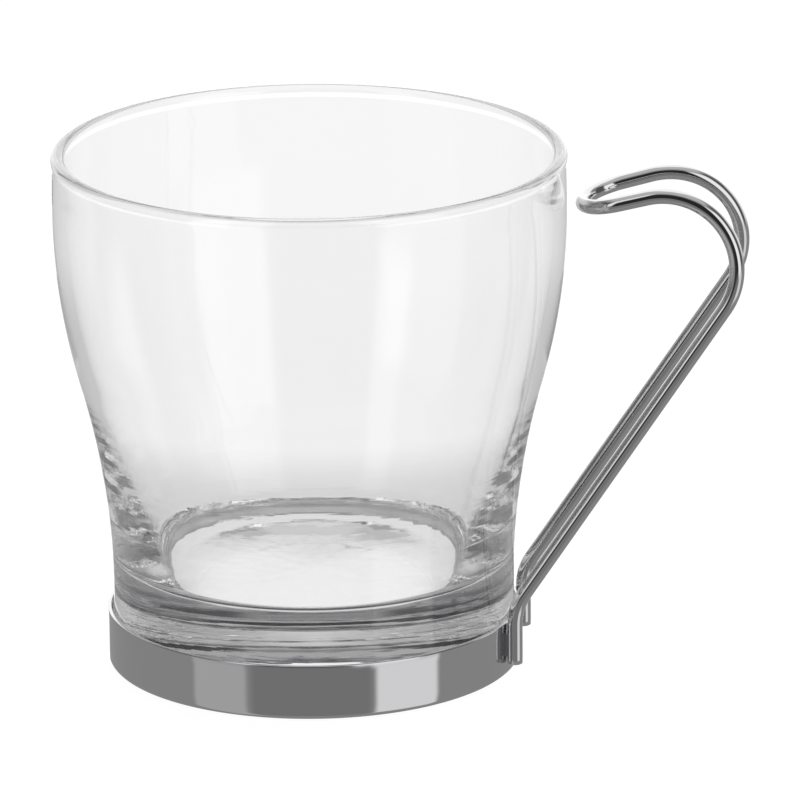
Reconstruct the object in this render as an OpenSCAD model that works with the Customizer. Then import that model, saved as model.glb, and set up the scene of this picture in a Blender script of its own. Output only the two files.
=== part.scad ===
// Tea glass with a wire handle: a flared glass stands in a steel band, and a hairpin
// of round wire is welded to the outside of that band.
// Millimetres, +Z up. The origin is on the glass's axis, on the surface it stands on.
// The handle points along +X.

/* [Glass] */
// Outside diameter of the rim
rim_d = 85; // [80:0.5:92]
// Height of the rim above the surface that the cup stands on
rim_z = 87.2; // [82:0.1:96]
// Thickness of the wall at the rim
rim_wall = 2.3; // [1.8:0.1:3]
// Outside diameter of the foot, inside the band
foot_d = 66.7; // [62:0.1:70]
// Height where the straight foot starts to flare
flare_low = 11.9; // [10.5:0.1:16]
// Height where the flare ends in a straight rim
flare_high = 77.5; // [70:0.5:80]
// Share of the flare's height in which the outside is hollow
hollow_share = 0.55; // [0.4:0.01:0.7]
// Slope of the inside wall from the vertical, below the bowl's shoulder
inside_taper = 15.2; // [13:0.1:18]
// Radius of the inside shoulder, between the taper and the straight rim
shoulder_r = 100; // [80:1:120]
// Height of the inside floor at its edge
floor_z = 16.7; // [14:0.1:20]
// Radius between the inside wall and the floor
floor_r = 2.6; // [2:0.1:6]
// Height of the floor's shallow dome above its edge
floor_crown = 0.8; // [0.4:0.1:2]
// Height of the hollow under the foot
punt_h = 1.4; // [0.8:0.1:3]
// Diameter of the hollow under the foot
punt_d = 48.5; // [40:0.5:52]
// Radius of the foot's lower edge
foot_edge_r = 3; // [1:0.1:3.5]

/* [Band] */
// Height of the band
band_h = 9.3; // [7:0.1:10]
// Thickness of the band's sheet
band_t = 0.65; // [0.5:0.05:1]
// Clearance between the band and the glass, all round
band_gap = 0.35; // [0.3:0.05:0.6]
// Reach of the flange that the glass stands on, inwards from the band
flange_w = 5; // [4.5:0.1:6.5]
// Outside radius between the band and its flange
band_edge_r = 0.9; // [0.75:0.05:1.2]

/* [Handle] */
// Diameter of the wire
wire_d = 2.5; // [2:0.1:3]
// Distance between the two wire ends, centre to centre
leg_span = 20.2; // [16:0.1:24]
// Height of the cut wire ends
wire_low = 2.3; // [1.5:0.1:3]
// Height of the corner above the band, where the legs lean outwards
corner_z = 12.1; // [11.5:0.1:14]
// Radius of that corner, along the wire's centre
corner_r = 9.6; // [4:0.1:11]
// Radius of the arch at the top, along the wire's centre
arch_r = 11.9; // [9:0.1:13]
// Distance from the rim out to the outermost face of the handle
handle_reach = 29.4; // [27:0.1:33]
// Distance from the rim's height down to the top of the arch
handle_drop = 3.8; // [2:0.1:8]
// Slope of the run from the arch down to the rim
tip_dip = 14.5; // [8:0.1:18]
// Gap between the glass and the closed end of the hairpin
tip_gap = 1.3; // [1:0.1:2]
// Radius of the hairpin's closed end, along the wire's centre
tip_r = 6.9; // [5:0.1:7.5]
// Angle that each leg opens from the middle plane at the closed end
tip_splay = 3.9; // [2:0.1:5]

/* [Welds] */
// Thickness of weld metal between the wire and the band
weld_t = 0.15; // [0.1:0.05:0.3]
// Width of each weld, across the wire
weld_w = 1.9; // [1.2:0.1:2.2]
// Height of each weld, along the wire
weld_h = 4; // [2:0.1:5]
// Height of each weld's lower end
weld_z = 3.6; // [3:0.1:4]

/* [Hidden] */
$fn = 96;
fine_fn = 720;
glass_color = [0.93, 0.96, 0.96, 0.4];
steel_color = [0.72, 0.73, 0.74];
weld_color = [0.55, 0.55, 0.56];

// Glass, outside: a hollow arc and a full arc that meet in one tangent
rim_r = rim_d / 2;
lip_r = rim_wall / 2;
foot_r = foot_d / 2;
flare_h = flare_high - flare_low;
flare_angle = 2 * atan((rim_r - foot_r) / flare_h);
flare_r = flare_h / sin(flare_angle);
hollow_r = hollow_share * flare_r;
full_r = flare_r - hollow_r;
meet_z = flare_low + hollow_r * sin(flare_angle);
meet_r = foot_r + hollow_r * (1 - cos(flare_angle));

// Glass, inside: straight rim, shoulder arc, tapered wall, floor arc, domed floor
inner_r = rim_r - rim_wall;
shoulder_z = flare_high;
taper_z = shoulder_z - shoulder_r * sin(inside_taper);
taper_r = inner_r - shoulder_r * (1 - cos(inside_taper));
floor_arc_z = floor_z + floor_r;
floor_touch_z = floor_arc_z - floor_r * sin(inside_taper);
floor_touch_r = taper_r - (taper_z - floor_touch_z) * tan(inside_taper);
floor_arc_r = floor_touch_r - floor_r * cos(inside_taper);

// Glass, underside
glass_z = band_t;

// Band
band_in_r = foot_r + band_gap;
band_out_r = band_in_r + band_t;
flange_r = band_in_r - flange_w;

// Handle, seen from the side: u runs outwards from the axis
wire_r = wire_d / 2;
leg_r = band_out_r + weld_t + wire_r;
leg_v = leg_span / 2;
leg_u = sqrt(pow(leg_r, 2) - pow(leg_v, 2));
arch_u = rim_r + handle_reach - wire_r - arch_r;
arch_z = rim_z - handle_drop - wire_r - arch_r;
arch_far = norm([arch_u - leg_u, arch_z - corner_z]);
leg_rise = atan2(arch_z - corner_z, arch_u - leg_u) - asin(arch_r / arch_far);
tip_heading = 180 + tip_dip;
arch_tangent = arch_r * tan((tip_heading - leg_rise) / 2);
arch_corner_u = arch_u + arch_r * sin(leg_rise) + arch_tangent * cos(leg_rise);
arch_corner_z = arch_z - arch_r * cos(leg_rise) + arch_tangent * sin(leg_rise);
tip_u = rim_r + tip_gap + wire_r;
run_end_u = tip_u + tip_r * (1 - sin(tip_splay)) * cos(tip_dip);
run_end_z = arch_corner_z - (arch_corner_u - run_end_u) * tan(tip_dip);
run_end_v = tip_r * cos(tip_splay);
run_length = (arch_corner_u - run_end_u) / cos(tip_dip);
arch_corner_v = run_end_v + run_length * tan(tip_splay);

// Loss of radius in a bend, and the angle by which a bend runs into the straight wire
bend_thinning = 0.02;
bend_overlap = 1;

// Corners of one leg's centre line, from the cut end to the closed end
leg_end = [leg_u, leg_v, wire_low];
leg_corner = [leg_u, leg_v, corner_z];
arch_corner = [arch_corner_u, arch_corner_v, arch_corner_z];
run_end = [run_end_u, run_end_v, run_end_z];

function unit(v) = v / norm(v);

// Radius of the sphere whose cap is h high on a base of radius r
function dome_radius(r, h) = (pow(r, 2) + pow(h, 2)) / (2 * h);

// Angle that the wire turns through at corner b on the way from a to c
function turn_at(a, b, c) = acos(unit(b - a) * unit(c - b));

// Distance from corner b to where a bend of radius r starts and ends
function bend_reach(a, b, c, r) = r * tan(turn_at(a, b, c) / 2);

// Point at that distance from corner b, towards the point p
function bend_point(b, p, reach) = b + reach * unit(p - b);

// Puts the children's own X, Y and Z axes along x, y and their cross product, at point p
module on_axes(x, y, p) {
    z = cross(x, y);
    multmatrix([
        [x[0], y[0], z[0], p[0]],
        [x[1], y[1], z[1], p[1]],
        [x[2], y[2], z[2], p[2]]
    ])
        children();
}

// Straight wire from a to b
module wire_run(a, b) {
    along = unit(b - a);
    across = unit(cross([0, 1, 0], along));
    on_axes(across, cross(along, across), a)
        cylinder(h = norm(b - a), r = wire_r);
}

// Bent wire that starts at point p along heading, with its centre in direction inward.
// Bending stretches the wire a little thinner, and the thin stretch starts inside the straight wire.
module wire_arc(p, heading, inward, r, angle) {
    on_axes(-inward, heading, p + r * inward)
        rotate(-bend_overlap)
            rotate_extrude(angle = angle + 2 * bend_overlap)
                translate([r, 0])
                    circle(r = wire_r - bend_thinning);
}

// Bend of radius r at corner b, on the way from a to c
module wire_bend(a, b, c, r) {
    reach = bend_reach(a, b, c, r);
    heading = unit(b - a);
    across = unit(c - b);
    inward = unit(across - (across * heading) * heading);
    wire_arc(bend_point(b, a, reach), heading, inward, r, turn_at(a, b, c));
}

// One leg of the hairpin
module wire_leg() {
    corner_reach = bend_reach(leg_end, leg_corner, arch_corner, corner_r);
    arch_reach = bend_reach(leg_corner, arch_corner, run_end, arch_r);
    wire_run(leg_end, bend_point(leg_corner, leg_end, corner_reach));
    wire_bend(leg_end, leg_corner, arch_corner, corner_r);
    wire_run(
        bend_point(leg_corner, arch_corner, corner_reach),
        bend_point(arch_corner, leg_corner, arch_reach)
    );
    wire_bend(leg_corner, arch_corner, run_end, arch_r);
    wire_run(bend_point(arch_corner, run_end, arch_reach), run_end);
}

// Closed end of the hairpin, from one leg round to the other
module wire_tip() {
    heading = unit(run_end - arch_corner);
    side = [0, -1, 0];
    inward = unit(side - (side * heading) * heading);
    wire_arc(run_end, heading, inward, tip_r, 180 - 2 * tip_splay);
}

// Half outline of a sphere's cap, h high on a base of radius r
module cap(r, h) {
    sphere_r = dome_radius(r, h);
    intersection() {
        translate([0, h - sphere_r])
            circle(r = sphere_r, $fn = fine_fn);
        square([r, h]);
    }
}

// Half outline of the glass's outside
module glass_outside() {
    translate([0, glass_z + foot_edge_r])
        square([foot_r, flare_low - glass_z - foot_edge_r]);
    translate([0, glass_z])
        square([foot_r - foot_edge_r, foot_edge_r]);
    intersection() {
        translate([foot_r - foot_edge_r, glass_z + foot_edge_r])
            circle(r = foot_edge_r);
        translate([foot_r - foot_edge_r, glass_z])
            square(foot_edge_r);
    }
    difference() {
        translate([0, flare_low])
            square([meet_r, meet_z - flare_low]);
        translate([foot_r + hollow_r, flare_low])
            circle(r = hollow_r);
    }
    intersection() {
        translate([rim_r - full_r, flare_high])
            circle(r = full_r);
        translate([0, meet_z])
            square([rim_r, flare_high - meet_z]);
    }
    translate([0, flare_high])
        square([rim_r, rim_z - lip_r - flare_high]);
}

// Half outline of the glass's inside, open at the top
module glass_inside() {
    translate([0, floor_z])
        square([floor_arc_r, floor_touch_z - floor_z]);
    intersection() {
        translate([floor_arc_r, floor_arc_z])
            circle(r = floor_r);
        translate([floor_arc_r, floor_z])
            square([floor_r, floor_touch_z - floor_z]);
    }
    polygon([[0, floor_touch_z], [floor_touch_r, floor_touch_z], [taper_r, taper_z], [0, taper_z]]);
    intersection() {
        translate([inner_r - shoulder_r, shoulder_z])
            circle(r = shoulder_r);
        translate([0, taper_z])
            square([inner_r, shoulder_z - taper_z]);
    }
    translate([0, shoulder_z])
        square([inner_r, rim_z - shoulder_z]);
}

// Clear glass: flared bowl, thick foot, domed floor, hollowed underside, rounded rim
module glass_bowl() {
    color(glass_color)
        rotate_extrude() {
            difference() {
                glass_outside();
                glass_inside();
                translate([0, glass_z])
                    cap(punt_d / 2, punt_h);
            }
            translate([0, floor_z])
                cap(floor_arc_r, floor_crown);
            translate([rim_r - lip_r, rim_z - lip_r])
                intersection() {
                    circle(r = lip_r);
                    translate([-lip_r, 0])
                        square([rim_wall, lip_r]);
                }
        }
}

// Polished ring round the foot, with the flange that the glass stands on
module base_band() {
    color(steel_color)
        rotate_extrude() {
            translate([band_in_r, band_edge_r])
                square([band_t, band_h - band_edge_r]);
            translate([flange_r, 0])
                square([band_out_r - band_edge_r - flange_r, band_t]);
            intersection() {
                translate([band_out_r - band_edge_r, band_edge_r])
                    difference() {
                        circle(r = band_edge_r);
                        circle(r = band_edge_r - band_t);
                    }
                translate([band_out_r - band_edge_r, 0])
                    square(band_edge_r);
            }
        }
}

// Hairpin of round wire, both legs and the closed end
module handle_wire() {
    color(steel_color) {
        wire_leg();
        mirror([0, 1, 0])
            wire_leg();
        wire_tip();
    }
}

// Weld metal between one wire end and the band
module weld() {
    translate([0, 0, weld_z])
        linear_extrude(height = weld_h)
            difference() {
                rotate(atan2(leg_v, leg_u))
                    translate([band_out_r - weld_t, -weld_w / 2])
                        square([leg_r - band_out_r + weld_t, weld_w]);
                circle(r = band_out_r, $fn = fine_fn);
                translate([leg_u, leg_v])
                    circle(r = wire_r);
            }
}

// Both welds of the handle
module handle_welds() {
    color(weld_color) {
        weld();
        mirror([0, 1, 0])
            weld();
    }
}

glass_bowl();
base_band();
handle_wire();
handle_welds();
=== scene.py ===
from math import acos, asin, atan, atan2, cos, pi, radians, sin, sqrt, tan

import bmesh
import bpy
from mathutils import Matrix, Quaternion, Vector, noise


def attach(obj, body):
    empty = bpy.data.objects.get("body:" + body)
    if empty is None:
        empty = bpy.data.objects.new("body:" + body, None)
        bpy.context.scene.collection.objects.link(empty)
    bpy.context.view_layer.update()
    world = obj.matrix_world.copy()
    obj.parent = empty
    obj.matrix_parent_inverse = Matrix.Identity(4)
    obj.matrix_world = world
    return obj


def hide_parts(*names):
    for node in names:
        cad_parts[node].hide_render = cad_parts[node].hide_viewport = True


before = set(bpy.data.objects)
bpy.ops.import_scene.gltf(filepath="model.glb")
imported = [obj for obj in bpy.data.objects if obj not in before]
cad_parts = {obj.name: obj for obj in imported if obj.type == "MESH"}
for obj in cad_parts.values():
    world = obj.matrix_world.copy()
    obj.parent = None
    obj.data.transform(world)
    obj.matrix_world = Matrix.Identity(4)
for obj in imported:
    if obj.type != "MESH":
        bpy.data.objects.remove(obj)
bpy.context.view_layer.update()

# A hair under a millimetre, so that round pieces stay inside the box of the faceted CAD model
MM = 0.0009995

# Glass, in millimetres, as in the part's source
RIM_R = 42.5
RIM_Z = 87.2
RIM_WALL = 2.3
FOOT_R = 33.35
FLARE_LOW = 11.9
FLARE_HIGH = 77.5
HOLLOW_SHARE = 0.55
INSIDE_TAPER = radians(15.2)
SHOULDER_R = 100.0
FLOOR_Z = 16.7
FLOOR_R = 2.6
FLOOR_CROWN = 0.8
PUNT_H = 1.4
PUNT_R = 24.25
FOOT_EDGE_R = 3.0
PUNT_EDGE_R = 0.3
PUNT_SPHERE_SHARE = 0.98
NECK_DEPTH = 0.08
NECK_RUN = 1.0
NECK_END = 7.0

# Band
BAND_H = 9.3
BAND_T = 0.65
BAND_GAP = 0.35
FLANGE_W = 5.0
BAND_EDGE_R = 0.9
BAND_LIP_R = 0.18

# Handle
WIRE_R = 1.25
LEG_V = 10.1
WIRE_LOW = 2.3
CORNER_Z = 12.1
CORNER_R = 9.6
ARCH_R = 11.9
HANDLE_REACH = 29.4
HANDLE_DROP = 3.8
TIP_DIP = radians(14.5)
TIP_GAP = 1.3
TIP_R = 6.9
TIP_SPLAY = radians(3.9)
WIRE_CHAMFER = 0.15
WELD_T = 0.15

# Photograph's view
VIEW_AZIMUTH = radians(5.4)
VIEW_ELEVATION = radians(17.15)
VIEW_DISTANCE = 1.4416
VIEW_ROLL = radians(-0.47)
AIM_HEIGHT = 0.044
AIM_RIGHT = 0.0146
LENS_MM = 391.9
SENSOR_MM = 36.0
VIEW_END = 20.0

# Waves that the mould leaves in the glass, in millimetres
WAVE_ROUND = 150.0
WAVE_TOP = 62.0
WAVE_FULL = 25.0
WAVES = [(6.0, 0.012), (2.2, 0.004)]
FLOOR_WAVE_STEP = 9.0
FLOOR_WAVE_HEIGHT = 0.08
STIPPLE_STEP = 1.6
STIPPLE_HEIGHT = 0.02
# Where the normal points further down or up than these, the surface is the underside or the floor
UNDERSIDE_NORMAL = -0.5
FLOOR_NORMAL = 0.9

# Fine level lines in the lower wall, in metres
STRIAE_TOP = 0.062
STRIAE_FULL = 0.03
STRIAE_HEIGHT = 0.00001
STRIAE_SCALE = (9, 9, 800)

# Light caught in the wall of the glass goes straight on after this many bounces,
# or none would come out of the rim
CAUGHT_BOUNCES = 24
MOST_BOUNCES = 64

# Steel: colours, then least and most roughness and relief of the lines for each finish
STEEL = (0.62, 0.62, 0.63, 1.0)
WELD_STEEL = (0.4, 0.4, 0.4, 1.0)
BAND_FINISH = (0.02, 0.04, 0.02)
WIRE_FINISH = (0.02, 0.04, 0.002)
WELD_FINISH = (0.3, 0.5, 0.04)
ROUND_LINES = (40, 40, 9000)
LENGTH_LINES = (60, 60, 1)
LINE_DEPTH = 0.0001
SMEAR_SCALE = 180.0
SMEAR_LOW = 0.3
SMEAR_HIGH = 0.7

# Fineness of the meshes
TURN_STEPS = 196
FLOOR_STEPS = 30
FLOOR_ARC_STEPS = 24
WALL_STEPS = 40
LIP_STEPS = 28
FULL_STEPS = 60
HOLLOW_STEPS = 120
FOOT_STEPS = 28
FOOT_EDGE_STEPS = 16
UNDERSIDE_STEPS = 14
PUNT_STEPS = 24
BAND_STEPS = 6
BAND_EDGE_STEPS = 10
WIRE_SIDES = 40
CORNER_STEPS = 16
ARCH_STEPS = 48
TIP_STEPS = 40
WIRE_STEP = 1.2


def arc(centre, radius, start, end, steps):
    """Points of an arc in the plane of radius and height, angles from the outward direction."""
    points = []
    for i in range(steps + 1):
        angle = start + (end - start) * i / steps
        points.append((centre[0] + radius * cos(angle), centre[1] + radius * sin(angle)))
    return points


def line(start, end, steps):
    """Points from start to end, both included."""
    return [
        (start[0] + (end[0] - start[0]) * i / steps, start[1] + (end[1] - start[1]) * i / steps)
        for i in range(steps + 1)
    ]


def without_repeats(points, tolerance=1e-4):
    """The same outline with no point twice in a row."""
    kept = [points[0]]
    for point in points[1:]:
        if abs(point[0] - kept[-1][0]) + abs(point[1] - kept[-1][1]) > tolerance:
            kept.append(point)
    return kept


def new_object(name, mesh):
    piece = bpy.data.objects.new(name, mesh)
    bpy.context.scene.collection.objects.link(piece)
    return piece


def finish_mesh(name, bm):
    """Object from a bmesh, with outward normals and smooth shading."""
    bmesh.ops.recalc_face_normals(bm, faces=bm.faces)
    for face in bm.faces:
        face.smooth = True
    mesh = bpy.data.meshes.new(name)
    bm.to_mesh(mesh)
    bm.free()
    return new_object(name, mesh)


def turned(name, outline, closed, steps=TURN_STEPS):
    """Solid turned about Z from an outline in millimetres. An open outline starts and ends on the axis."""
    bm = bmesh.new()
    rings = []
    for r, z in outline:
        if r < 1e-6:
            rings.append([bm.verts.new((0, 0, z * MM))])
            continue
        ring = []
        for i in range(steps):
            angle = 2 * pi * i / steps
            ring.append(bm.verts.new((r * MM * cos(angle), r * MM * sin(angle), z * MM)))
        rings.append(ring)
    pairs = list(zip(rings, rings[1:]))
    if closed:
        pairs.append((rings[-1], rings[0]))
    for a, b in pairs:
        for i in range(steps):
            j = (i + 1) % steps
            corners = [a[i % len(a)], a[j % len(a)], b[j % len(b)], b[i % len(b)]]
            unique = list(dict.fromkeys(corners))
            bm.faces.new(unique)
    return finish_mesh(name, bm)


def neck(z):
    """How far each face of the wall draws in under the rounded rim, at a height in millimetres."""
    below = RIM_Z - RIM_WALL / 2 - z
    if below < NECK_RUN:
        return NECK_DEPTH * (1 - cos(pi * below / NECK_RUN)) / 2
    if below < NECK_END:
        return NECK_DEPTH * (1 + cos(pi * (below - NECK_RUN) / (NECK_END - NECK_RUN))) / 2
    return 0.0


def glass_outline():
    """Half outline of the glass, from the middle of its floor round to the middle of its underside."""
    flare_h = FLARE_HIGH - FLARE_LOW
    flare_angle = 2 * atan((RIM_R - FOOT_R) / flare_h)
    flare_r = flare_h / sin(flare_angle)
    hollow_r = HOLLOW_SHARE * flare_r
    full_r = flare_r - hollow_r
    inner_r = RIM_R - RIM_WALL
    lip_r = RIM_WALL / 2
    taper_z = FLARE_HIGH - SHOULDER_R * sin(INSIDE_TAPER)
    taper_r = inner_r - SHOULDER_R * (1 - cos(INSIDE_TAPER))
    floor_arc_z = FLOOR_Z + FLOOR_R
    touch_z = floor_arc_z - FLOOR_R * sin(INSIDE_TAPER)
    touch_r = taper_r - (taper_z - touch_z) * tan(INSIDE_TAPER)
    floor_arc_r = touch_r - FLOOR_R * cos(INSIDE_TAPER)
    glass_z = BAND_T
    punt_sphere_r = (PUNT_R ** 2 + PUNT_H ** 2) / (2 * PUNT_H)
    punt_angle = asin(PUNT_R / punt_sphere_r)
    floor = line((0, FLOOR_Z), (floor_arc_r, FLOOR_Z), FLOOR_STEPS)
    points = [(r, z + FLOOR_CROWN * (1 - (r / floor_arc_r) ** 2)) for r, z in floor]
    points += arc((floor_arc_r, floor_arc_z), FLOOR_R, -pi / 2, -INSIDE_TAPER, FLOOR_ARC_STEPS)
    points += line((touch_r, touch_z), (taper_r, taper_z), WALL_STEPS)
    points += arc((inner_r - SHOULDER_R, FLARE_HIGH), SHOULDER_R, -INSIDE_TAPER, 0, WALL_STEPS)
    inside = line((inner_r, FLARE_HIGH), (inner_r, RIM_Z - lip_r), WALL_STEPS)
    points += [(r + neck(z), z) for r, z in inside]
    points += arc((RIM_R - lip_r, RIM_Z - lip_r), lip_r, pi, 0, LIP_STEPS)
    outside = line((RIM_R, RIM_Z - lip_r), (RIM_R, FLARE_HIGH), WALL_STEPS)
    points += [(r - neck(z), z) for r, z in outside]
    points += arc((RIM_R - full_r, FLARE_HIGH), full_r, 0, -flare_angle, FULL_STEPS)
    points += arc((FOOT_R + hollow_r, FLARE_LOW), hollow_r, pi - flare_angle, pi, HOLLOW_STEPS)
    points += line((FOOT_R, FLARE_LOW), (FOOT_R, glass_z + FOOT_EDGE_R), FOOT_STEPS)
    foot_edge = (FOOT_R - FOOT_EDGE_R, glass_z + FOOT_EDGE_R)
    points += arc(foot_edge, FOOT_EDGE_R, 0, -pi / 2, FOOT_EDGE_STEPS)
    points += line((FOOT_R - FOOT_EDGE_R, glass_z), (PUNT_R + PUNT_EDGE_R, glass_z), UNDERSIDE_STEPS)
    punt_centre = (0, glass_z + PUNT_H - punt_sphere_r)
    punt_start = pi / 2 - PUNT_SPHERE_SHARE * punt_angle
    points += arc(punt_centre, punt_sphere_r, punt_start, pi / 2, PUNT_STEPS)
    points[-1] = (0, points[-1][1])
    return without_repeats(points)


def share(value, none, full):
    """0 at none, 1 at full, straight between and level beyond."""
    return min(1.0, max(0.0, (value - none) / (full - none)))


def ring_waves(place):
    """Waves that run nearly level round the glass and fade out towards the rim."""
    height = 0.0
    for step, size in WAVES:
        height += size * noise.noise(Vector((place.x / WAVE_ROUND, place.y / WAVE_ROUND, place.z / step)))
    return height * share(place.z, WAVE_TOP, WAVE_FULL)


def wave(place, normal):
    """Height of the glass's surface above its plain shape, at a place in millimetres."""
    if normal.z < UNDERSIDE_NORMAL:
        return STIPPLE_HEIGHT * (noise.noise(place / STIPPLE_STEP) - 0.5)
    if normal.z > FLOOR_NORMAL and place.z < FLOOR_Z + FLOOR_R:
        return FLOOR_WAVE_HEIGHT * noise.noise(place / FLOOR_WAVE_STEP)
    if normal.x * place.x + normal.y * place.y > 0:
        return ring_waves(place)
    return 0.0


def add_waves(piece):
    """Moves the surface of the glass along its normals by the waves."""
    moves = [v.normal * wave(v.co / MM, v.normal) * MM for v in piece.data.vertices]
    for vertex, move in zip(piece.data.vertices, moves):
        vertex.co += move


def band_outline():
    """Closed outline of the band's wall and flange."""
    inner = FOOT_R + BAND_GAP
    outer = inner + BAND_T
    corner = (outer - BAND_EDGE_R, BAND_EDGE_R)
    lip = BAND_LIP_R
    points = arc((inner + lip, BAND_H - lip), lip, pi, pi / 2, BAND_STEPS)
    points += arc((outer - lip, BAND_H - lip), lip, pi / 2, 0, BAND_STEPS)
    points += line((outer, BAND_H - lip), (outer, BAND_EDGE_R), BAND_STEPS)
    points += arc(corner, BAND_EDGE_R, 0, -pi / 2, BAND_EDGE_STEPS)
    flange = inner - FLANGE_W
    points += arc((flange + lip, lip), lip, -pi / 2, -pi, BAND_STEPS)
    points += arc((flange + lip, BAND_T - lip), lip, pi, pi / 2, BAND_STEPS)
    points += arc(corner, BAND_EDGE_R - BAND_T, -pi / 2, 0, BAND_STEPS)
    return without_repeats(points)


def leg_corners():
    """Corners of one leg's centre line in millimetres, from the cut end to the closed end."""
    band_out = FOOT_R + BAND_GAP + BAND_T
    leg_u = sqrt((band_out + WELD_T + WIRE_R) ** 2 - LEG_V ** 2)
    arch_u = RIM_R + HANDLE_REACH - WIRE_R - ARCH_R
    arch_z = RIM_Z - HANDLE_DROP - WIRE_R - ARCH_R
    far = sqrt((arch_u - leg_u) ** 2 + (arch_z - CORNER_Z) ** 2)
    rise = atan2(arch_z - CORNER_Z, arch_u - leg_u) - asin(ARCH_R / far)
    tangent = ARCH_R * tan((pi + TIP_DIP - rise) / 2)
    corner_u = arch_u + ARCH_R * sin(rise) + tangent * cos(rise)
    corner_z = arch_z - ARCH_R * cos(rise) + tangent * sin(rise)
    end_u = RIM_R + TIP_GAP + WIRE_R + TIP_R * (1 - sin(TIP_SPLAY)) * cos(TIP_DIP)
    end_z = corner_z - (corner_u - end_u) * tan(TIP_DIP)
    end_v = TIP_R * cos(TIP_SPLAY)
    corner_v = end_v + (corner_u - end_u) / cos(TIP_DIP) * tan(TIP_SPLAY)
    return [
        Vector((leg_u, LEG_V, WIRE_LOW)),
        Vector((leg_u, LEG_V, CORNER_Z)),
        Vector((corner_u, corner_v, corner_z)),
        Vector((end_u, end_v, end_z)),
    ]


def bend(before, corner, after, radius, steps):
    """Points of the round bend at a corner."""
    heading = (corner - before).normalized()
    leaving = (after - corner).normalized()
    turn = acos(heading.dot(leaving))
    inward = (leaving - leaving.dot(heading) * heading).normalized()
    start = corner - heading * radius * tan(turn / 2)
    centre = start + inward * radius
    return [
        centre + radius * (sin(turn * i / steps) * heading - cos(turn * i / steps) * inward)
        for i in range(steps + 1)
    ]


def spaced(points, step):
    """The same path with extra points so that none are further apart than step."""
    path = [points[0]]
    for a, b in zip(points, points[1:]):
        count = max(1, round((b - a).length / step))
        path += [a.lerp(b, (i + 1) / count) for i in range(count)]
    return path


def hairpin_path():
    """Centre line of the whole handle, from one cut end to the other, in millimetres."""
    low, corner, arch, end = leg_corners()
    leg = [low]
    leg += bend(low, corner, arch, CORNER_R, CORNER_STEPS)
    leg += bend(corner, arch, end, ARCH_R, ARCH_STEPS)
    leg.append(end)
    heading = (end - arch).normalized()
    side = Vector((0, -1, 0))
    inward = (side - side.dot(heading) * heading).normalized()
    turn = pi - 2 * TIP_SPLAY
    centre = end + inward * TIP_R
    tip = []
    for i in range(TIP_STEPS + 1):
        angle = turn * i / TIP_STEPS
        tip.append(centre + TIP_R * (sin(angle) * heading - cos(angle) * inward))
    other = [Vector((p.x, -p.y, p.z)) for p in reversed(leg)]
    return spaced(leg[:-1] + tip + other[1:], WIRE_STEP)


def wire_stations(path, radius):
    """Point, radius and length so far at each ring of a wire with softened cut ends."""
    stations = [(path[0], radius - WIRE_CHAMFER, 0.0)]
    heading = (path[1] - path[0]).normalized()
    stations.append((path[0] + heading * WIRE_CHAMFER, radius, WIRE_CHAMFER))
    length = 0.0
    for a, b in zip(path, path[1:]):
        length += (b - a).length
        stations.append((b, radius, length))
    heading = (path[-1] - path[-2]).normalized()
    stations[-1] = (path[-1] - heading * WIRE_CHAMFER, radius, length - WIRE_CHAMFER)
    stations.append((path[-1], radius - WIRE_CHAMFER, length))
    return stations


def wire_rings(bm, stations, sides):
    """Rings of points square to the path, which don't twist along it."""
    across = Vector((0, 1, 0))
    rings = []
    for i, (point, size, _) in enumerate(stations):
        before = stations[max(i - 1, 0)][0]
        after = stations[min(i + 1, len(stations) - 1)][0]
        heading = (after - before).normalized()
        across = (across - across.dot(heading) * heading).normalized()
        up = heading.cross(across)
        ring = []
        for k in range(sides):
            angle = 2 * pi * k / sides
            ring.append(bm.verts.new((point + size * (cos(angle) * across + sin(angle) * up)) * MM))
        rings.append(ring)
    return rings


def swept(name, path, radius, sides):
    """Round wire along a path in millimetres, with a UV of angle and length."""
    stations = wire_stations(path, radius)
    bm = bmesh.new()
    uv = bm.loops.layers.uv.new("UVMap")
    rings = wire_rings(bm, stations, sides)
    for i, (a, b) in enumerate(zip(rings, rings[1:])):
        for k in range(sides):
            n = (k + 1) % sides
            face = bm.faces.new((a[k], a[n], b[n], b[k]))
            corners = ((k, i), (k + 1, i), (k + 1, i + 1), (k, i + 1))
            for loop, (turn, station) in zip(face.loops, corners):
                loop[uv].uv = (turn / sides, stations[station][2] * MM)
    bm.faces.new(list(reversed(rings[0])))
    bm.faces.new(rings[-1])
    return finish_mesh(name, bm)


class Nodes:
    """Short way to write a node tree."""

    def __init__(self, tree):
        self.tree = tree
        tree.nodes.clear()

    def add(self, kind, inputs=None, **settings):
        node = self.tree.nodes.new(kind)
        for key, value in settings.items():
            setattr(node, key, value)
        for key, value in (inputs or {}).items():
            if isinstance(value, bpy.types.NodeSocket):
                self.tree.links.new(value, node.inputs[key])
            else:
                node.inputs[key].default_value = value
        return node

    def math(self, operation, a, b=0.0, c=0.0):
        node = self.add("ShaderNodeMath", operation=operation)
        for socket, value in zip(node.inputs, (a, b, c)):
            if isinstance(value, bpy.types.NodeSocket):
                self.tree.links.new(value, socket)
            else:
                socket.default_value = value
        return node.outputs[0]

    def mix(self, factor, a, b):
        """a where factor is 0, b where it is 1."""
        node = self.add("ShaderNodeMix", data_type="FLOAT")
        for socket, value in zip(node.inputs, (factor, None, a, b)):
            if isinstance(value, bpy.types.NodeSocket):
                self.tree.links.new(value, socket)
            elif value is not None:
                socket.default_value = value
        return node.outputs[0]

    def ramp(self, value, low, high):
        """0 below low, 1 above high, smooth between."""
        node = self.add("ShaderNodeMapRange", {"Value": value, "From Min": low, "From Max": high},
                        interpolation_type="SMOOTHSTEP")
        return node.outputs["Result"]


def new_material(name):
    material = bpy.data.materials.new(name)
    material.use_nodes = True
    return material, Nodes(material.node_tree)


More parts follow.
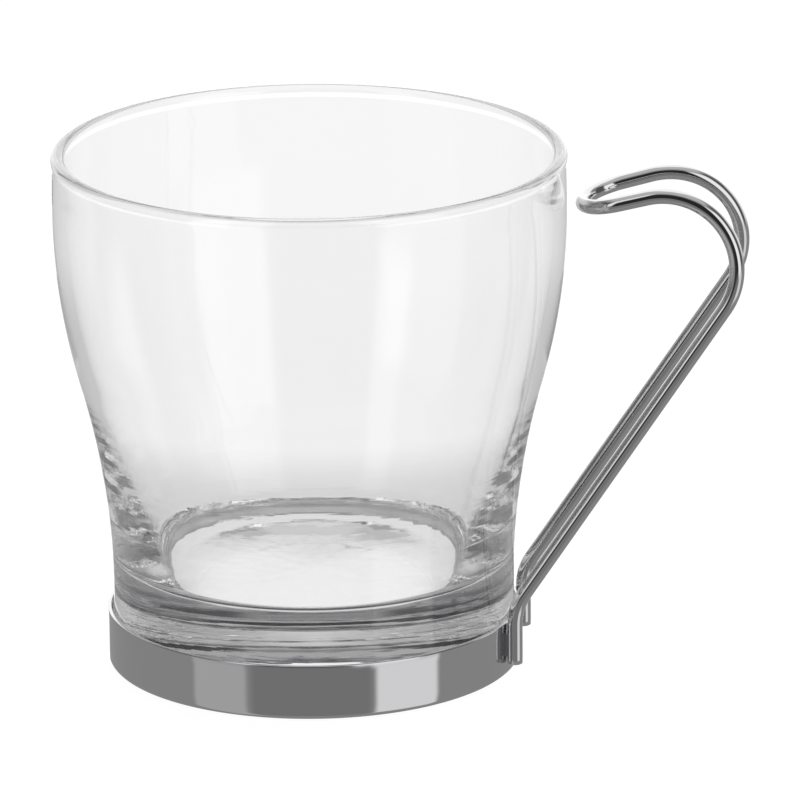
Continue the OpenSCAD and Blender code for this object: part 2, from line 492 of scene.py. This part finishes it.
def glass_material():
    material, n = new_material("clear_glass")
    place = n.add("ShaderNodeTexCoord").outputs["Object"]
    stretch = n.add("ShaderNodeMapping", {"Vector": place, "Scale": STRIAE_SCALE}).outputs[0]
    striae = n.add("ShaderNodeTexNoise", {"Vector": stretch, "Scale": 1.0, "Detail": 2.0, "Roughness": 0.6})
    height = n.add("ShaderNodeSeparateXYZ", {"Vector": place}).outputs["Z"]
    low = n.ramp(height, STRIAE_TOP, STRIAE_FULL)
    bump = n.add("ShaderNodeBump", {
        "Height": n.math("MULTIPLY", striae.outputs["Fac"], low),
        "Strength": 1.0,
        "Distance": STRIAE_HEIGHT,
    })
    shader = n.add("ShaderNodeBsdfPrincipled", {
        "Base Color": (1.0, 1.0, 1.0, 1.0),
        "Roughness": 0.0,
        "IOR": 1.5,
        "Transmission Weight": 1.0,
        "Normal": bump.outputs["Normal"],
    })
    depth = n.add("ShaderNodeLightPath").outputs["Ray Depth"]
    caught = n.math("GREATER_THAN", depth, CAUGHT_BOUNCES)
    clear = n.add("ShaderNodeBsdfTransparent")
    surface = n.add("ShaderNodeMixShader", {0: caught, 1: shader.outputs[0], 2: clear.outputs[0]})
    n.add("ShaderNodeOutputMaterial", {"Surface": surface.outputs[0]})
    return material


def steel_material(name, streaks, colour, finish):
    """Polished steel. streaks gives the vector whose noise makes the polishing lines."""
    rough_low, rough_high, relief = finish
    material, n = new_material(name)
    vector = streaks(n)
    lines = n.add("ShaderNodeTexNoise", {"Vector": vector, "Scale": 1.0, "Detail": 3.0, "Roughness": 0.6})
    place = n.add("ShaderNodeTexCoord").outputs["Object"]
    smears = n.add("ShaderNodeTexNoise", {"Vector": place, "Scale": SMEAR_SCALE, "Detail": 3.0})
    rough = n.add("ShaderNodeMapRange", {
        "Value": smears.outputs["Fac"], "From Min": SMEAR_LOW, "From Max": SMEAR_HIGH,
        "To Min": rough_low, "To Max": rough_high,
    })
    bump = n.add("ShaderNodeBump", {
        "Height": lines.outputs["Fac"], "Strength": relief, "Distance": LINE_DEPTH,
    })
    shader = n.add("ShaderNodeBsdfPrincipled", {
        "Base Color": colour,
        "Metallic": 1.0,
        "Roughness": rough.outputs["Result"],
        "Normal": bump.outputs["Normal"],
    })
    n.add("ShaderNodeOutputMaterial", {"Surface": shader.outputs[0]})
    return material


def round_streaks(n):
    """Fine lines that run round the axis."""
    place = n.add("ShaderNodeTexCoord").outputs["Object"]
    return n.add("ShaderNodeMapping", {"Vector": place, "Scale": ROUND_LINES}).outputs[0]


def length_streaks(n):
    """Fine lines that run along the wire."""
    along = n.add("ShaderNodeTexCoord").outputs["UV"]
    return n.add("ShaderNodeMapping", {"Vector": along, "Scale": LENGTH_LINES}).outputs[0]


def build_camera():
    data = bpy.data.cameras.new("camera")
    data.lens = LENS_MM
    data.sensor_width = SENSOR_MM
    data.clip_end = VIEW_END
    camera = new_object("camera", data)
    right = Vector((cos(VIEW_AZIMUTH), sin(VIEW_AZIMUTH), 0))
    back = Vector((sin(VIEW_AZIMUTH), -cos(VIEW_AZIMUTH), 0)) * cos(VIEW_ELEVATION)
    back.z = sin(VIEW_ELEVATION)
    axis_point = Vector((0, 0, AIM_HEIGHT))
    camera.location = axis_point + back * VIEW_DISTANCE
    look = axis_point + right * AIM_RIGHT - camera.location
    turn = look.to_track_quat("-Z", "Y") @ Quaternion((0, 0, 1), VIEW_ROLL)
    camera.rotation_mode = "QUATERNION"
    camera.rotation_quaternion = turn
    bpy.context.scene.camera = camera


# Studio seen in reflections: azimuth from and to, elevation from and to, softness of the sides,
# softness of top and bottom, all in degrees, then brightness. Azimuth 0 is at the camera, right is positive.
# Later panels cover earlier ones.
STUDIO = [
    (-200, 200, 55, 120, 5, 8, 0.68),     # ceiling
    (-104, -56, -4, 50, 5, 5, 0.14),      # dark gap on the left
    (-52, -34, 2, 52, 3, 5, 1.2),         # soft box, front left
    (-34, 18, -12, 42, 5, 5, 0.03),       # dark room behind the camera
    (64, 106, -6, 56, 5, 5, 0.12),        # dark gap on the right
    (104, 200, -6, 28, 6, 5, 0.95),       # backdrop, low on the right
    (138, 200, -8, 82, 8, 6, 1.4),        # backdrop
    (-200, -146, -8, 82, 8, 6, 1.4),
    (168, 200, -40, -2, 3, 5, 1.3),       # bright table behind
    (-200, -168, -40, -2, 3, 5, 1.3),
    (22, 60, -14, 46, 3, 4, 1.3),         # soft box, front right
    (-71, -39, -60, -12, 2, 3, 0.53),     # what the table throws back
    (-36, 32, -40, -12, 3, 3, 0.25),
    (34.5, 72.5, -34, -12, 2, 4, 0.97),
]
STUDIO_REST = 0.34
# The same for light led round inside the glass
LED_STUDIO = [
    (-200, 200, 25, 50, 5, 4, 0.55),
    (-120, -40, 25, 50, 5, 4, 0.25),
    (40, 120, 25, 50, 5, 4, 0.25),
    (-200, 200, 50, 70, 5, 4, 0.58),      # ceiling
    (-135, -45, 50, 70, 6, 4, 0.42),
    (45, 135, 50, 70, 6, 4, 0.42),
    (-200, 200, 70, 120, 5, 4, 0.6),
    (-40, 40, -5, 24, 6, 3, 0.04),        # dark room behind the camera
    (-12, 12, 12, 24, 3, 2, 0.35),
    (-104, -56, -5, 25, 5, 4, 0.28),      # dark gaps and soft boxes on the left and right
    (-54, -36, -5, 30, 3, 4, 1.1),
    (64, 106, -5, 25, 5, 4, 0.28),
    (30, 60, -5, 30, 3, 4, 1.1),
    (120, 200, -5, 25, 6, 4, 0.88),       # backdrop
    (-200, -120, -5, 25, 6, 4, 0.88),
]
LED_REST = 0.5
# What is mirrored through both walls of the glass: the studio from and to these azimuths, with a softness,
# and an even backdrop behind
MIRRORED_SIDE = (-140, 130, 5)
MIRRORED_BACK = 0.75
# Light led round inside the foot alone is dimmer from the left and right: azimuths, softness and share left
FOOT_SIDE = (35, 140, 8)
FOOT_SIDE_LIGHT = 0.65
# Brightness of the backdrop behind clear glass
CLEAR_BACKDROP = 1.2
# The table: half its width, its brightness to the camera, and the dull colour that takes the cup's shadow
TABLE_HALF = 3.0
TABLE_SEEN = 0.94
TABLE_DULL = (0.14, 0.14, 0.14, 1.0)
# Brightness of the table behind clear glass, with a painted shadow of the cup and painted light under its
# middle, where light comes through the glass floor: at the dark core of the painted shadow under the cup,
# which fades over a distance in metres, round that place, then in rings of painted shadow. Each ring has the
# reach where it starts and where it is full, and its brightness.
SHADOW_CORE = (0.0, 0.018, 0.0)
CORE_FADE = (0.002, 0.012)
TABLE_PAINTED_SHADOW_LEVEL = 0.72
TABLE_PAINTED_LIGHT_MIDDLE = 0.87
TABLE_PAINTED_SHADOW_RINGS = [
    (0.014, 0.028, 0.72),     # painted shadow under the foot
    (0.034, 0.044, 0.63),     # darkest painted shadow, round the band
    (0.052, 0.105, 0.885),    # painted shadow fading out beyond the cup
    (0.4, 0.5, 1.06),         # far off
]
# The same for light led round inside the glass, with a painted shadow ring under the foot and band
LED_MIDDLE = 0.62
LED_PAINTED_SHADOW_RINGS = [
    # painted shadow under the foot and band
    (0.02, 0.024, 0.05),
    (0.028, 0.032, 0.55),
    (0.15, 0.25, 0.74),
]


def more_than(n, count, number):
    """1 where a count of bounces is over a whole number."""
    return n.math("GREATER_THAN", count, number + 0.5)


def fewer_than(n, count, number):
    """1 where a count of bounces is under a whole number."""
    return n.math("LESS_THAN", count, number - 0.5)


def seen_directly(n, path):
    """1 for rays that reach the background without a reflection on the way, 0 for reflected rays."""
    clear = fewer_than(n, path.outputs["Glossy Depth"], 1)
    straight = n.math("MAXIMUM", path.outputs["Is Camera Ray"], path.outputs["Is Transmission Ray"])
    return n.math("MULTIPLY", straight, clear)


def led_round(n, path):
    """1 for light led round inside the glass."""
    return more_than(n, path.outputs["Transmission Depth"], 0)


def mirrored_through(n, path):
    """1 for what the handle and the far wall mirror, where it is seen through both walls of the glass."""
    both_walls = more_than(n, path.outputs["Transmission Depth"], 3)
    one_mirror = fewer_than(n, path.outputs["Glossy Depth"], 2)
    return n.math("MULTIPLY", both_walls, one_mirror)


def led_in_foot(n, path):
    """1 for light that is reflected more than once inside the glass and never crosses its hollow."""
    once_through = fewer_than(n, path.outputs["Transmission Depth"], 3)
    often = more_than(n, path.outputs["Glossy Depth"], 1)
    return n.math("MULTIPLY", once_through, often)


def studio_angles(n):
    """Azimuth from the camera and elevation of the ray, in degrees."""
    direction = n.add("ShaderNodeTexCoord").outputs["Generated"]
    facing = n.add("ShaderNodeVectorRotate", {"Vector": direction, "Angle": -VIEW_AZIMUTH},
                   rotation_type="Z_AXIS").outputs[0]
    xyz = n.add("ShaderNodeSeparateXYZ", {"Vector": facing})
    side = n.math("ARCTAN2", xyz.outputs["X"], n.math("MULTIPLY", xyz.outputs["Y"], -1.0))
    return n.math("DEGREES", side), n.math("DEGREES", n.math("ARCSINE", xyz.outputs["Z"]))


def window(n, value, low, high, soft):
    """1 between low and high, falling to 0 over the softness."""
    rise = n.ramp(value, low - soft, low + soft)
    fall = n.ramp(value, high + soft, high - soft)
    return n.math("MULTIPLY", rise, fall)


def panels(n, places, rest, azimuth, elevation):
    """Brightness of a studio made of panels."""
    level = rest
    for left, right, low, high, soft_side, soft_height, bright in places:
        mask = n.math("MULTIPLY", window(n, azimuth, left, right, soft_side),
                      window(n, elevation, low, high, soft_height))
        level = n.mix(mask, level, bright)
    return level


def build_world():
    """White to the camera and through glass. Reflections see the studio."""
    world = bpy.data.worlds.new("studio")
    world.use_nodes = True
    bpy.context.scene.world = world
    n = Nodes(world.node_tree)
    path = n.add("ShaderNodeLightPath")
    azimuth, elevation = studio_angles(n)
    level = panels(n, STUDIO, STUDIO_REST, azimuth, elevation)
    glass_level = panels(n, LED_STUDIO, LED_REST, azimuth, elevation)
    foot_side = window(n, n.math("ABSOLUTE", azimuth), *FOOT_SIDE)
    dimmed = n.math("MULTIPLY", led_in_foot(n, path), foot_side)
    glass_level = n.math("MULTIPLY", glass_level, n.mix(dimmed, 1.0, FOOT_SIDE_LIGHT))
    mirrored = n.mix(window(n, azimuth, *MIRRORED_SIDE), MIRRORED_BACK, level)
    glass_level = n.mix(mirrored_through(n, path), glass_level, mirrored)
    level = n.mix(led_round(n, path), level, glass_level)
    white = n.mix(path.outputs["Is Camera Ray"], CLEAR_BACKDROP, 1.0)
    level = n.mix(seen_directly(n, path), level, white)
    background = n.add("ShaderNodeBackground", {"Color": level, "Strength": 1.0})
    n.add("ShaderNodeOutputWorld", {"Surface": background.outputs[0]})


def ringed(n, level, reach, places):
    """Brightness of a table with rings about the axis."""
    for inner, outer, bright in places:
        level = n.mix(n.ramp(reach, inner, outer), level, bright)
    return level


def table_level(n, path, place):
    """Brightness of the table, by its place and by how light got there: a painted shadow of the cup, with
    painted light under its middle, on the table seen through glass.
    """
    reach = n.add("ShaderNodeVectorMath", {0: place}, operation="LENGTH").outputs["Value"]
    from_painted_shadow_core = n.add("ShaderNodeVectorMath", {0: place, 1: SHADOW_CORE}, operation="DISTANCE")
    # Painted shadow core under the cup, set in painted light under its middle, then rings of painted shadow
    # round it
    middle = n.mix(n.ramp(from_painted_shadow_core.outputs["Value"], *CORE_FADE), TABLE_PAINTED_SHADOW_LEVEL, TABLE_PAINTED_LIGHT_MIDDLE)
    clear = ringed(n, middle, reach, TABLE_PAINTED_SHADOW_RINGS)
    led = ringed(n, LED_MIDDLE, reach, LED_PAINTED_SHADOW_RINGS)
    level = n.mix(seen_directly(n, path), led, clear)
    return n.mix(path.outputs["Is Camera Ray"], level, TABLE_SEEN)


def table_material():
    """Pale table for the camera; through glass it shows a painted shadow of the cup and painted light under
    its middle. Reflections outside the glass see the studio instead.
    """
    material, n = new_material("table_white")
    path = n.add("ShaderNodeLightPath")
    place = n.add("ShaderNodeTexCoord").outputs["Object"]
    level = table_level(n, path, place)
    glow = n.add("ShaderNodeEmission", {"Color": (1, 1, 1, 1), "Strength": level})
    dull = n.add("ShaderNodeBsdfDiffuse", {"Color": TABLE_DULL})
    pale = n.add("ShaderNodeAddShader", {0: glow.outputs[0], 1: dull.outputs[0]})
    clear = n.add("ShaderNodeBsdfTransparent")
    led_only = n.math("SUBTRACT", led_round(n, path), mirrored_through(n, path))
    solid = n.math("MAXIMUM", seen_directly(n, path), led_only)
    surface = n.add("ShaderNodeMixShader", {0: solid, 1: clear.outputs[0], 2: pale.outputs[0]})
    n.add("ShaderNodeOutputMaterial", {"Surface": surface.outputs[0]})
    return material


def build_floor():
    bm = bmesh.new()
    bmesh.ops.create_grid(bm, x_segments=1, y_segments=1, size=TABLE_HALF)
    floor = finish_mesh("floor", bm)
    floor.data.materials.append(table_material())


def dress(piece, material, body, node):
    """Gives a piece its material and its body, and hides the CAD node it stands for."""
    piece.data.materials.append(material)
    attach(piece, body)
    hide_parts(node)


build_camera()
build_world()
build_floor()

glass = turned("glass_bowl_clear", glass_outline(), closed=False)
add_waves(glass)
dress(glass, glass_material(), "glass", "glass_bowl")

band = turned("base_band_polished", band_outline(), closed=True)
dress(band, steel_material("polished_steel", round_streaks, STEEL, BAND_FINISH),
      "holder", "base_band")

wire = swept("handle_wire_bright", hairpin_path(), WIRE_R, WIRE_SIDES)
dress(wire, steel_material("wire_steel", length_streaks, STEEL, WIRE_FINISH),
      "holder", "handle_wire")

weld_material = steel_material("weld_steel", round_streaks, WELD_STEEL, WELD_FINISH)
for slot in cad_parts["handle_welds"].material_slots:
    slot.material = weld_material

bpy.context.scene.view_settings.view_transform = "Standard"

# Light is led round the thick foot by many reflections inside the glass
cycles = bpy.context.scene.cycles
cycles.max_bounces = MOST_BOUNCES
cycles.glossy_bounces = MOST_BOUNCES
cycles.transmission_bounces = MOST_BOUNCES
cycles.transparent_max_bounces = MOST_BOUNCES
